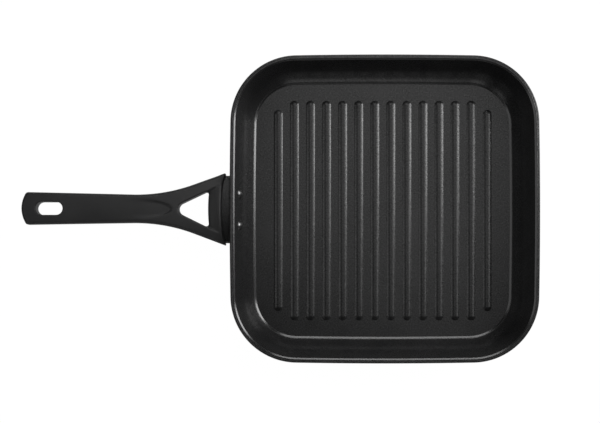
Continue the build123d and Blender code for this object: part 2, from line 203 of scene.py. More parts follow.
def lathe(profile: Sequence[Point], turns: int) -> tuple[list[Point3], list[Face]]:
    """Turns a line round the Z axis into a closed solid.

    Args:
        profile: Radius and height of each point, from the axis at the top, outwards and
            down, to the axis at the bottom.
        turns: Points in each ring.

    Returns:
        The points and the faces.
    """
    points: list[Point3] = [(0.0, 0.0, profile[0][1])]
    rings = profile[1:-1]
    for radius, height in rings:
        for index in range(turns):
            angle = math.tau * index / turns
            points.append((radius * math.cos(angle), radius * math.sin(angle), height))
    points.append((0.0, 0.0, profile[-1][1]))
    faces: list[Face] = []
    last = len(points) - 1
    final = 1 + (len(rings) - 1) * turns
    for index in range(turns):
        ahead = (index + 1) % turns
        faces.append((0, 1 + index, 1 + ahead))
        faces.append((last, final + ahead, final + index))
    for ring in range(len(rings) - 1):
        faces += bridge(1 + ring * turns, 1 + (ring + 1) * turns, turns, flip=True)
    return points, faces


# Node trees


class Nodes:
    """A node tree whose nodes are added and joined by short calls."""

    def __init__(self, tree: bpy.types.NodeTree) -> None:
        """Empties the tree.

        Args:
            tree: The tree.
        """
        self.tree = tree
        self.tree.nodes.clear()

    def add(self, kind: str, values: dict[str | int, Any] | None = None, **settings: Any) -> bpy.types.Node:
        """Adds a node.

        Args:
            kind: Type of the node.
            values: Input values by socket name or number.
            **settings: Attributes of the node itself.

        Returns:
            The node.
        """
        node = self.tree.nodes.new(kind)
        for key, value in settings.items():
            setattr(node, key, value)
        for key, value in (values or {}).items():
            node.inputs[key].default_value = value
        return node

    def join(self, source: bpy.types.Node, out: str | int, target: bpy.types.Node, into: str | int) -> None:
        """Links one node's output to another's input.

        Args:
            source: Node that gives.
            out: Name or number of its output.
            target: Node that takes.
            into: Name or number of its input.
        """
        self.tree.links.new(source.outputs[out], target.inputs[into])

    def math(self, operation: str, first: Any, second: Any) -> bpy.types.Node:
        """Adds a sum on two values.

        Args:
            operation: Kind of sum.
            first: Number, or a node and the name of its output.
            second: Number, or a node and the name of its output.

        Returns:
            The node.
        """
        node = self.add("ShaderNodeMath", operation=operation)
        for index, value in enumerate((first, second)):
            if isinstance(value, tuple):
                self.join(value[0], value[1], node, index)
            else:
                node.inputs[index].default_value = value
        return node


class Pattern(Nodes):
    """A Geometry Nodes tree with named inputs, which is turned into a plain mesh."""

    def __init__(self, name: str) -> None:
        """Makes an empty tree that gives a geometry.

        Args:
            name: The piece's name.
        """
        super().__init__(bpy.data.node_groups.new(name, "GeometryNodeTree"))
        self.name = name
        self.tree.interface.new_socket("Geometry", in_out="OUTPUT", socket_type="NodeSocketGeometry")
        self.entry = self.add("NodeGroupInput")
        self.exit = self.add("NodeGroupOutput")
        self.values: dict[str, Any] = {}

    def takes(self, name: str, kind: str, value: Any) -> None:
        """Adds a named input.

        Args:
            name: The input's name.
            kind: Socket type without its prefix, such as Float or Vector.
            value: What the piece sets it to.
        """
        socket = self.tree.interface.new_socket(name, in_out="INPUT", socket_type=f"NodeSocket{kind}")
        self.values[socket.identifier] = value

    def finish(self, source: bpy.types.Node, out: str, material: bpy.types.Material) -> bpy.types.Object:
        """Ends the tree, runs it on an object and keeps the result as a plain mesh.

        Args:
            source: Node that gives the instances.
            out: Name of its output.
            material: Finish of the piece.

        Returns:
            The piece.
        """
        self.takes("Finish", "Material", material)
        painted = self.add("GeometryNodeSetMaterial")
        self.join(source, out, painted, "Geometry")
        self.join(self.entry, "Finish", painted, "Material")
        self.join(painted, "Geometry", self.exit, "Geometry")
        piece = bpy.data.objects.new(self.name, bpy.data.meshes.new(self.name))
        bpy.context.scene.collection.objects.link(piece)
        modifier = piece.modifiers.new(self.name, "NODES")
        modifier.node_group = self.tree
        for identifier, value in self.values.items():
            modifier[identifier] = value
        return plain(piece)


def plain(piece: bpy.types.Object) -> bpy.types.Object:
    """Turns a piece's modifiers into its mesh.

    Args:
        piece: The piece.

    Returns:
        The same piece, without modifiers.
    """
    bpy.context.view_layer.update()
    graph = bpy.context.evaluated_depsgraph_get()
    mesh = bpy.data.meshes.new_from_object(piece.evaluated_get(graph))
    piece.modifiers.clear()
    piece.data = mesh
    mesh.name = piece.name
    return piece


def discard(*pieces: bpy.types.Object) -> None:
    """Removes objects that only helped to make others.

    Args:
        *pieces: The objects.
    """
    for piece in pieces:
        bpy.data.objects.remove(piece)


class Shading(Nodes):
    """A material with an output and one Principled shader."""

    def __init__(self, name: str) -> None:
        """Makes the material.

        Args:
            name: The material's name.
        """
        self.material = bpy.data.materials.new(name)
        self.material.use_nodes = True
        super().__init__(self.material.node_tree)
        self.output = self.add("ShaderNodeOutputMaterial")
        self.shader = self.add("ShaderNodeBsdfPrincipled")
        self.join(self.shader, "BSDF", self.output, "Surface")
        self.place = self.add("ShaderNodeTexCoord")

    def noise(self, per_metre: float, detail: float = 3.0, roughness: float = 0.55) -> bpy.types.Node:
        """Adds a noise over the piece's own coordinates.

        Args:
            per_metre: Cells per metre.
            detail: Octaves.
            roughness: Strength of each finer octave.

        Returns:
            The noise node.
        """
        values = {"Scale": per_metre, "Detail": detail, "Roughness": roughness}
        node = self.add("ShaderNodeTexNoise", values)
        self.join(self.place, "Object", node, "Vector")
        return node

    def spread(self, source: bpy.types.Node, out: str, low: float, high: float) -> bpy.types.Node:
        """Maps a value that runs from about 0.3 to 0.7 onto a new range.

        Args:
            source: Node that gives the value.
            out: Name of its output.
            low: Result at 0.3.
            high: Result at 0.7.

        Returns:
            The mapping node.
        """
        values = {"From Min": 0.3, "From Max": 0.7, "To Min": low, "To Max": high}
        node = self.add("ShaderNodeMapRange", values)
        self.join(source, out, node, "Value")
        return node

    def crisp(self, source: bpy.types.Node, out: str, value: float) -> bpy.types.Node:
        """Replaces a value on crisp edges, where the coating lies thin and smooth.

        Args:
            source: Node that gives the value elsewhere.
            out: Name of its output socket.
            value: The value on an edge, where the mesh's "crisp" attribute is one.

        Returns:
            The node, whose output "Result" holds the value.
        """
        edge = self.add("ShaderNodeAttribute", attribute_name="crisp")
        mixed = self.add("ShaderNodeMix", data_type="FLOAT")
        mixed.inputs[3].default_value = value
        self.join(edge, "Fac", mixed, 0)
        self.join(source, out, mixed, 2)
        return mixed

    def bumps(self, layers: Sequence[tuple[bpy.types.Node, str, float]]) -> None:
        """Chains bump layers into the shader's normal.

        Args:
            layers: Node, output name and height in metres of each layer.
        """
        before: bpy.types.Node | None = None
        for source, out, height in layers:
            node = self.add("ShaderNodeBump", {"Strength": 1.0, "Distance": height})
            self.join(source, out, node, "Height")
            if before is not None:
                self.join(before, "Normal", node, "Normal")
            before = node
        if before is not None:
            self.join(before, "Normal", self.shader, "Normal")

    def tint(self, dark: float, light: float, source: bpy.types.Node, out: str) -> None:
        """Colours the shader with a grey that follows a value.

        Args:
            dark: Linear grey at 0.3.
            light: Linear grey at 0.7.
            source: Node that gives the value.
            out: Name of its output.
        """
        ramp = self.add("ShaderNodeValToRGB")
        ramp.color_ramp.elements[0].position = 0.3
        ramp.color_ramp.elements[0].color = (dark, dark, dark * 1.02, 1)
        ramp.color_ramp.elements[1].position = 0.7
        ramp.color_ramp.elements[1].color = (light, light, light * 1.02, 1)
        self.join(source, out, ramp, "Fac")
        self.join(ramp, "Color", self.shader, "Base Color")


@dataclass(frozen=True)
class Coating:
    """A dark sprayed coating: fine orange peel, specks and an uneven gloss."""

    name: str
    dark: float = 0.012
    light: float = 0.018
    roughness: float = 0.28
    uneven: float = 0.02
    specular: float = 0.5
    ior: float = 1.5
    speck: float = 0.2
    crisp_specular: float = 0.66
    crisp_roughness: float = 0.22
    cloud_scale: float = 45.0
    peel_scale: float = 900.0
    peel_height: float = 0.000002
    grain_scale: float = 3200.0
    grain_height: float = 0.0000025
    speck_scale: float = 800.0

    def material(self) -> bpy.types.Material:
        """Builds the node tree.

        Returns:
            The material.
        """
        shading = Shading(self.name)
        shading.shader.inputs["IOR"].default_value = self.ior
        cloud = shading.noise(self.cloud_scale, detail=4.0)
        peel = shading.noise(self.peel_scale, detail=2.0)
        grain = shading.noise(self.grain_scale, detail=2.0, roughness=0.7)
        specks = shading.noise(self.speck_scale, detail=2.0)
        shading.tint(self.dark, self.light, cloud, "Fac")
        gloss = shading.spread(peel, "Fac", self.roughness - self.uneven, self.roughness + self.uneven)
        shine = shading.spread(specks, "Fac", self.specular - self.speck, self.specular + self.speck)
        smoother = shading.crisp(gloss, "Result", self.crisp_roughness)
        brighter = shading.crisp(shine, "Result", self.crisp_specular)
        shading.join(smoother, "Result", shading.shader, "Roughness")
        shading.join(brighter, "Result", shading.shader, "Specular IOR Level")
        shading.bumps([(peel, "Fac", self.peel_height), (grain, "Fac", self.grain_height)])
        return shading.material


@dataclass(frozen=True)
class HandlePlastic:
    """Black moulded plastic with a fine spark-eroded grain."""

    name: str
    dark: float = 0.022
    light: float = 0.029
    specular: float = 0.3
    roughness: float = 0.45
    uneven: float = 0.05
    cloud_scale: float = 30.0
    grain_scale: float = 2400.0
    grain_height: float = 0.00002
    rub_scale: float = 260.0
    rub_height: float = 0.000008

    def material(self) -> bpy.types.Material:
        """Builds the node tree.

        Returns:
            The material.
        """
        shading = Shading(self.name)
        cloud = shading.noise(self.cloud_scale)
        grain = shading.noise(self.grain_scale, roughness=0.65)
        rub = shading.noise(self.rub_scale)
        shading.tint(self.dark, self.light, cloud, "Fac")
        gloss = shading.spread(rub, "Fac", self.roughness - self.uneven, self.roughness + self.uneven)
        shading.join(gloss, "Result", shading.shader, "Roughness")
        shading.shader.inputs["Specular IOR Level"].default_value = self.specular
        shading.bumps([(rub, "Fac", self.rub_height), (grain, "Fac", self.grain_height)])
        return shading.material


@dataclass(frozen=True)
class TurnedSteel:
    """Stainless steel with the fine rings that turning leaves."""

    name: str
    grey: float = 0.5
    roughness: float = 0.28
    uneven: float = 0.08
    cloud_scale: float = 60.0
    ring_spacing: float = 0.7
    ring_height: float = 0.000012

    def material(self) -> bpy.types.Material:
        """Builds the node tree.

        Returns:
            The material.
        """
        shading = Shading(self.name)
        cloud = shading.noise(self.cloud_scale)
        shading.tint(self.grey * 0.9, self.grey * 1.08, cloud, "Fac")
        values = {"Scale": 0.5 / (self.ring_spacing * MILLIMETRE) / math.pi, "Distortion": 0.15}
        rings = shading.add("ShaderNodeTexWave", values, wave_type="RINGS", rings_direction="Z")
        shading.join(shading.place, "Object", rings, "Vector")
        gloss = shading.spread(cloud, "Fac", self.roughness - self.uneven, self.roughness + self.uneven)
        shading.join(gloss, "Result", shading.shader, "Roughness")
        shading.shader.inputs["Metallic"].default_value = 1.0
        shading.bumps([(rings, "Fac", self.ring_height)])
        return shading.material


class Finishes:
    """The pan's materials, one for each slot."""

    def __init__(self) -> None:
        """Builds every material once."""
        self.by_slot: dict[Slot, bpy.types.Material] = {
            Slot.COATING: Coating("non_stick_coating").material(),
            Slot.BRACKET: Coating("bracket_coating", roughness=0.34).material(),
            Slot.RIVET: Coating("rivet_coating", roughness=0.32, specular=0.8, ior=2.0).material(),
            Slot.HANDLE: HandlePlastic("handle_plastic").material(),
            Slot.BASE: TurnedSteel("base_steel").material(),
            Slot.SCREW: TurnedSteel("screw_steel", ring_spacing=0.25).material(),
        }

    def dress(self, piece: bpy.types.Object, slot: Slot) -> None:
        """Gives a piece the material of a slot.

        Args:
            piece: The piece.
            slot: The record's slot.
        """
        piece.data.materials.clear()
        piece.data.materials.append(self.by_slot[slot])
        for face in piece.data.polygons:
            face.material_index = 0


# The pan


@dataclass(frozen=True)
class RimOutline:
    """The outside of the rim from above: a square of eight tangent arcs."""

    length: float = 280.8
    breadth: float = 279.4
    corner: float = 60.3
    bow: float = 0.75

    def rays(self, corner_steps: int = 32, side_steps: int = 16) -> list[tuple[Point, float, float]]:
        """Samples the outline.

        Args:
            corner_steps: Pieces of each corner.
            side_steps: Pieces of each side.

        Returns:
            Centre, radius and angle in radians of each point, once round.
        """
        half_length, half_breadth = self.length / 2, self.breadth / 2
        corner_x = half_length - self.corner - self.bow
        corner_y = half_breadth - self.corner - self.bow
        end_gap = (corner_y**2 + self.bow**2) / (2 * self.bow)
        flank_gap = (corner_x**2 + self.bow**2) / (2 * self.bow)
        end_angle = math.asin(corner_y / end_gap)
        flank_angle = math.asin(corner_x / flank_gap)
        turn = math.pi / 2 - end_angle - flank_angle
        rays: list[tuple[Point, float, float]] = []
        for side, turned in ((1, 0.0), (-1, math.pi)):
            end_radius, flank_radius = end_gap + self.corner, flank_gap + self.corner
            arcs = (
                ((side * (half_length - end_radius), 0.0), end_radius, -end_angle, 2 * end_angle, side_steps),
                ((side * corner_x, side * corner_y), self.corner, end_angle, turn, corner_steps),
                (
                    (0.0, side * (half_breadth - flank_radius)),
                    flank_radius,
                    math.pi / 2 - flank_angle,
                    2 * flank_angle,
                    side_steps,
                ),
                (
                    (-side * corner_x, side * corner_y),
                    self.corner,
                    math.pi / 2 + flank_angle,
                    turn,
                    corner_steps,
                ),
            )
            for centre, radius, start, sweep, steps in arcs:
                for step in range(steps):
                    rays.append((centre, radius, turned + start + sweep * step / steps))
        return rays


@dataclass(frozen=True)
class PanWall:
    """Sizes of the wall, rim and floor, which the pieces on the pan share."""

    height: float = 42.0
    floor: float = 5.0
    thickness: float = 3.2
    draft: float = 15.5
    rim: float = 4.6

    def run(self, drop: float) -> float:
        """How far the wall leans in over a drop.

        Args:
            drop: Distance below the top of the rim.

        Returns:
            The distance inwards.
        """
        return drop * math.tan(math.radians(self.draft))

    def outside(self, drop: float) -> float:
        """Inset of the wall's outer face.

        Args:
            drop: Distance below the top of the rim.

        Returns:
            The distance inwards from the rim's outer edge.
        """
        return self.rim - self.thickness / math.cos(math.radians(self.draft)) + self.run(drop)


@dataclass(frozen=True)
class PanShell:
    """The forged tray without its ribs: underside, wall, rolled rim, cove and floor."""

    outline: RimOutline = RimOutline()
    wall: PanWall = PanWall()
    rim_depth: float = 4.0
    rim_outer_round: float = 1.2
    rim_inner_round: float = 0.3
    rim_under_round: float = 0.5
    groove_place: float = 1.95
    groove_half: float = 0.25
    groove_depth: float = 0.12
    groove_round: float = 0.15
    facet: float = 1.45
    facet_slope: float = 33.0
    facet_round: float = 0.2
    cove_rise: float = 8.5
    cove_slope: float = 43.0
    cove_round: float = 29.0
    ledge: float = 0.35
    ledge_round: float = 0.9
    step: float = 1.05
    step_slope: float = 32.0
    step_round: float = 0.25
    foot_round: float = 0.3
    base_round: float = 28.0
    slab_margin: float = 1.5
    recess_radius: float = 95.1
    recess_depth: float = 1.0
    recess_edge: float = 0.3

    def slab_inset(self) -> float:
        """Finds where the wall's section meets the flat slab.

        Returns:
            The inset.
        """
        rounding = self.base_round * math.tan(math.radians(90 - self.wall.draft) / 2)
        return self.wall.outside(self.wall.height) + rounding + self.slab_margin

    def section(self) -> list[Point]:
        """Inset and height of the wall's section, from the underside over the rim to the floor.

        Returns:
            The points.
        """
        wall = self.wall
        cove = wall.rim + wall.run(wall.height - wall.floor - self.cove_rise)
        ledge = cove + (self.cove_rise - self.step) / math.tan(math.radians(self.cove_slope))
        step = ledge + self.ledge
        foot = step + self.step / math.tan(math.radians(self.step_slope))
        under = wall.height - self.rim_depth
        facet_foot = wall.height - self.facet * math.tan(math.radians(self.facet_slope))
        low = wall.height - self.groove_depth
        grooves = [
            (self.groove_place + side * self.groove_half, wall.height if side else low, self.groove_round)
            for side in (-1, 0, 1)
        ]
        corners = [
            (self.slab_inset(), 0.0, 0.0),
            (wall.outside(wall.height), 0.0, self.base_round),
            (wall.outside(self.rim_depth), under, self.rim_under_round),
            (0.0, under, self.rim_under_round),
            (0.0, wall.height, self.rim_outer_round),
            *grooves,
            (wall.rim - self.facet, wall.height, self.facet_round),
            (wall.rim, facet_foot, self.rim_inner_round),
            (cove, wall.floor + self.cove_rise, self.cove_round),
            (ledge, wall.floor + self.step, self.ledge_round),
            (step, wall.floor + self.step, self.step_round),
            (foot, wall.floor, self.foot_round),
            (self.slab_inset(), wall.floor, 0.0),
        ]
        places, rounds = [corner[:2] for corner in corners], [corner[2] for corner in corners]
        return rounded_line(places, rounds, arc_step=6.0, run_step=4.0)

    def is_crisp(self, inset: float, height: float) -> bool:
        """Tells whether a point of the section lies on the rim's facet or on the floor's edge.

        Args:
            inset: Distance inwards from the rim's outer edge.
            height: Height above the ground.

        Returns:
            True on the two narrow faces that catch the lamps.
        """
        wall = self.wall
        on_facet = height > wall.height - 2 and wall.rim - self.facet - 0.05 < inset < wall.rim + 0.05
        on_step = abs(height - wall.floor - self.step / 2) < self.step / 2 - 0.02 and inset > wall.rim
        return on_facet or on_step

    def build(self) -> bpy.types.Object:
        """Sweeps the section round the rim and closes the floor and the underside.

        Returns:
            The piece.
        """
        rays = self.outline.rays()
        count = len(rays)
        points: list[Point3] = []
        crisp: list[float] = []
        for inset, height in self.section():
            crisp += [float(self.is_crisp(inset, height))] * count
            for (x, y), radius, angle in rays:
                reach = radius - inset
                points.append((x + reach * math.cos(angle), y + reach * math.sin(angle), height))
        rows = len(points) // count
        faces: list[Face] = []
        for row in range(rows - 1):
            faces += bridge(row * count, (row + 1) * count, count)
        faces.append(tuple(range((rows - 1) * count, rows * count)))
        self.add_recess(points, faces, count)
        piece = add_piece("pan_shell", points, faces)
        crisp += [0.0] * (len(points) - len(crisp))
        piece.data.attributes.new("crisp", "FLOAT", "POINT").data.foreach_set("value", crisp)
        return piece

    def add_recess(self, points: list[Point3], faces: list[Face], count: int) -> None:
        """Closes the underside with the round recess of the base plate.

        Args:
            points: The shell's points, which grow.
            faces: The shell's faces, which grow.
            count: Points in each ring.
        """
        start = 0
        recess = (
            (self.recess_radius + self.recess_edge, 0.0),
            (self.recess_radius, self.recess_edge),
            (self.recess_radius, self.recess_depth),
        )
        for radius, height in recess:
            ring = len(points)
            for x, y, _ in points[:count]:
                reach = radius / math.hypot(x, y)
                points.append((x * reach, y * reach, height))
            faces += bridge(start, ring, count, flip=True)
            start = ring
        faces.append(tuple(reversed(range(start, start + count))))


@dataclass(frozen=True)
class GrillRibs:
    """The raised ribs on the floor, laid out in a row by a node tree."""

    wall: PanWall = PanWall()
    count: int = 14
    pitch: float = 14.895
    width: float = 8.3
    height: float = 1.25
    length: float = 203.54
    outer_shortening: float = 17.0
    foot_round: float = 0.6
    skirt: float = 0.4
    sunk: float = 0.06
    crown_steps: int = 12
    foot_steps: int = 6
    turns: int = 20

    def half_section(self) -> list[Point]:
        """Distance from the middle and height of one side, from the crown to past the foot.

        Returns:
            The points.
        """
        half = self.width / 2
        radius = (half**2 + self.height**2) / (2 * self.height)
        centre = self.height - radius
        foot = self.foot_round
        reach = math.sqrt((radius + foot) ** 2 - (centre - foot) ** 2)
        lean = math.atan2(foot - centre, reach)
        points = [
            (radius * math.sin(angle), centre + radius * math.cos(angle))
            for angle in (
                step / self.crown_steps * (math.pi / 2 - lean) for step in range(self.crown_steps + 1)
            )
        ]
        for step in range(1, self.foot_steps + 1):
            angle = lean + math.pi + (math.pi / 2 - lean) * step / self.foot_steps
            points.append((reach + foot * math.cos(angle), foot + foot * math.sin(angle)))
        points.append((reach + self.skirt, -self.sunk))
        return points

    def bar(self) -> bpy.types.Object:
        """Makes one long rib about the origin, with domed ends.

        Returns:
            The rib, which the tree repeats.
        """
        straight = self.length / 2 - self.width / 2
        section = self.half_section()
        points: list[Point3] = []
        for distance, height in section:
            level = self.wall.floor + height
            for side in (1, -1):
                for step in range(self.turns + 1):
                    angle = math.pi * step / self.turns + (0 if side > 0 else math.pi)
                    y = side * straight + distance * math.sin(angle)
                    points.append((distance * math.cos(angle), y, level))
        loop = 2 * (self.turns + 1)
        faces: list[Face] = []
        for row in range(len(section) - 1):
            faces += bridge((row + 1) * loop, row * loop, loop)
        return add_piece("rib_bar", points, faces)

    def places(self, pattern: Pattern) -> bpy.types.Node:
        """Makes the row of places, each with the shortening of its rib.

        Args:
            pattern: The tree, with its inputs.

        Returns:
            The node whose output "Geometry" holds the places.
        """
        entry = pattern.entry
        row = pattern.add("GeometryNodeMeshLine", mode="OFFSET")
        pattern.join(entry, "Count", row, "Count")
        pattern.join(entry, "First Place", row, "Start Location")
        pattern.join(entry, "Pitch", row, "Offset")
        index = pattern.add("GeometryNodeInputIndex")
        last = pattern.math("SUBTRACT", (entry, "Count"), 1)
        middle = pattern.math("MULTIPLY", (last, 0), 0.5)
        away = pattern.math("SUBTRACT", (index, "Index"), (middle, 0))
        distance = pattern.math("ABSOLUTE", (away, 0), 0)
        inner = pattern.math("SUBTRACT", (middle, 0), 0.5)
        outer = pattern.math("GREATER_THAN", (distance, 0), (inner, 0))
        shift = pattern.math("MULTIPLY", (outer, 0), (entry, "Outer Shortening"))
        noted = pattern.add("GeometryNodeStoreNamedAttribute", {"Name": "shortening"}, domain="POINT")
        pattern.join(row, "Mesh", noted, "Geometry")
        pattern.join(shift, 0, noted, "Value")
        return noted

    @staticmethod
    def shorten(pattern: Pattern, ribs: bpy.types.Node) -> bpy.types.Node:
        """Draws the ends of each rib in by its shortening.

        Args:
            pattern: The tree.
            ribs: Node whose output "Geometry" holds the ribs.

        Returns:
            The node whose output "Geometry" holds the finished ribs.
        """
        read = pattern.add("GeometryNodeInputNamedAttribute", {"Name": "shortening"}, data_type="FLOAT")
        place = pattern.add("GeometryNodeInputPosition")
        parts = pattern.add("ShaderNodeSeparateXYZ")
        pattern.join(place, "Position", parts, "Vector")
        side = pattern.math("SIGN", (parts, "Y"), 0)
        back = pattern.math("MULTIPLY", (side, 0), (read, "Attribute"))
        inwards = pattern.math("MULTIPLY", (back, 0), -1)
        offset = pattern.add("ShaderNodeCombineXYZ")
        pattern.join(inwards, 0, offset, "Y")
        moved = pattern.add("GeometryNodeSetPosition")
        pattern.join(ribs, "Geometry", moved, "Geometry")
        pattern.join(offset, "Vector", moved, "Offset")
        return moved

    def build(self, material: bpy.types.Material) -> bpy.types.Object:
        """Lays the ribs in a row and shortens the first and the last.

        Args:
            material: Finish of the ribs.

        Returns:
            The piece.
        """
        bar = self.bar()
        first = -(self.count - 1) / 2 * self.pitch
        pattern = Pattern("pan_ribs")
        pattern.takes("Rib", "Object", bar)
        pattern.takes("Count", "Int", self.count)
        pattern.takes("First Place", "Vector", (first * MILLIMETRE, 0, 0))
        pattern.takes("Pitch", "Vector", (self.pitch * MILLIMETRE, 0, 0))
        pattern.takes("Outer Shortening", "Float", self.outer_shortening / 2 * MILLIMETRE)
        shape = pattern.add("GeometryNodeObjectInfo")
        pattern.join(pattern.entry, "Rib", shape, "Object")
        merged = pattern.add("GeometryNodeMergeByDistance", {"Distance": 0.000001})
        pattern.join(shape, "Geometry", merged, "Geometry")
        placed = pattern.add("GeometryNodeInstanceOnPoints")
        pattern.join(self.places(pattern), "Geometry", placed, "Points")
        pattern.join(merged, "Geometry", placed, "Instance")
        real = pattern.add("GeometryNodeRealizeInstances")
        pattern.join(placed, "Instances", real, "Geometry")
        piece = pattern.finish(self.shorten(pattern, real), "Geometry", material)
        discard(bar)
        return piece


@dataclass(frozen=True)
class Rivets:
    """The two coated rivets through the wall, laid out by a node tree."""

    outline: RimOutline = RimOutline()
    wall: PanWall = PanWall()
    spacing: float = 28.8
    drop: float = 15.0
    head: float = 9.4
    head_height: float = 2.4
    shank: float = 6.0
    tail: float = 8.0
    tail_height: float = 2.2
    head_sunk: float = 0.3
    bracket_back: float = 3.0
    dome_steps: int = 12
    turns: int = 40
    sharp_angle: float = 50.0

    def rivet(self) -> bpy.types.Object:
        """Turns one rivet about the origin and tilts it to the wall.

        Returns:
            The rivet, which the tree repeats.
        """
        half = self.head / 2
        radius = (half**2 + self.head_height**2) / (2 * self.head_height)
        centre = self.head_height - radius
        widest = math.asin(half / radius)
        angles = [widest * step / self.dome_steps for step in range(self.dome_steps + 1)]
        profile = [(radius * math.sin(angle), centre + radius * math.cos(angle)) for angle in angles]
        grip = -self.wall.thickness - self.bracket_back
        shank, tail = self.shank / 2, self.tail / 2
        end = grip - self.tail_height
        profile += [(half, -self.head_sunk), (shank, -self.head_sunk), (shank, grip), (tail, grip)]
        profile += [(tail, end + self.tail_height / 2), (tail - self.tail_height / 2, end), (0.0, end)]
        points, faces = lathe(profile, self.turns)
        rivet = add_piece("rivet", points, faces)
        rivet.data.transform(Matrix.Rotation(math.radians(90 - self.wall.draft), 4, "Y"))
        rivet.data.set_sharp_from_angle(angle=math.radians(self.sharp_angle))
        return rivet

    def build(self, material: bpy.types.Material) -> bpy.types.Object:
        """Sets the rivets side by side in the wall.

        Args:
            material: Finish of the rivets.

        Returns:
            The piece.
        """
        rivet = self.rivet()
        reach = self.wall.rim + self.wall.run(self.drop) - self.outline.length / 2
        first = (reach, -self.spacing / 2, self.wall.height - self.drop)
        pattern = Pattern("rivets")
        pattern.takes("Rivet", "Object", rivet)
        pattern.takes("First Place", "Vector", tuple(value * MILLIMETRE for value in first))
        pattern.takes("Spacing", "Vector", (0, self.spacing * MILLIMETRE, 0))
        shape = pattern.add("GeometryNodeObjectInfo")
        pattern.join(pattern.entry, "Rivet", shape, "Object")
        row = pattern.add("GeometryNodeMeshLine", {"Count": 2}, mode="OFFSET")
        pattern.join(pattern.entry, "First Place", row, "Start Location")
        pattern.join(pattern.entry, "Spacing", row, "Offset")
        placed = pattern.add("GeometryNodeInstanceOnPoints")
        pattern.join(row, "Mesh", placed, "Points")
        pattern.join(shape, "Geometry", placed, "Instance")
        real = pattern.add("GeometryNodeRealizeInstances")
        pattern.join(placed, "Instances", real, "Geometry")
        piece = pattern.finish(real, "Geometry", material)
        discard(rivet)
        return piece


@dataclass(frozen=True)
class Arch:
    """A long side view's arc, crowned across."""

    front: Point
    middle: Point
    end: Point
    crown: float
    side: int

    def height(self, x: float, y: float) -> float:
        """Height of the arched surface.

        Args:
            x: Place along the handle.
            y: Place across the handle.

        Returns:
            The height.
        """
        centre_x, centre_z, radius = circle_through(self.front, self.middle, self.end)
        sag = self.crown - math.sqrt(self.crown**2 - y**2)
        return centre_z + math.sqrt((radius - self.side * sag) ** 2 - (x - centre_x) ** 2)


@dataclass(frozen=True)
class EdgeLoop:
    """A closed line in plan, with the rounding of its edge at each point.

    Attributes:
        points: The line.
        radii: Width of the rounding.
        depths: How much deeper than wide the rounding of the top is.
    """

    points: list[Point]
    radii: list[float]
    depths: list[float]


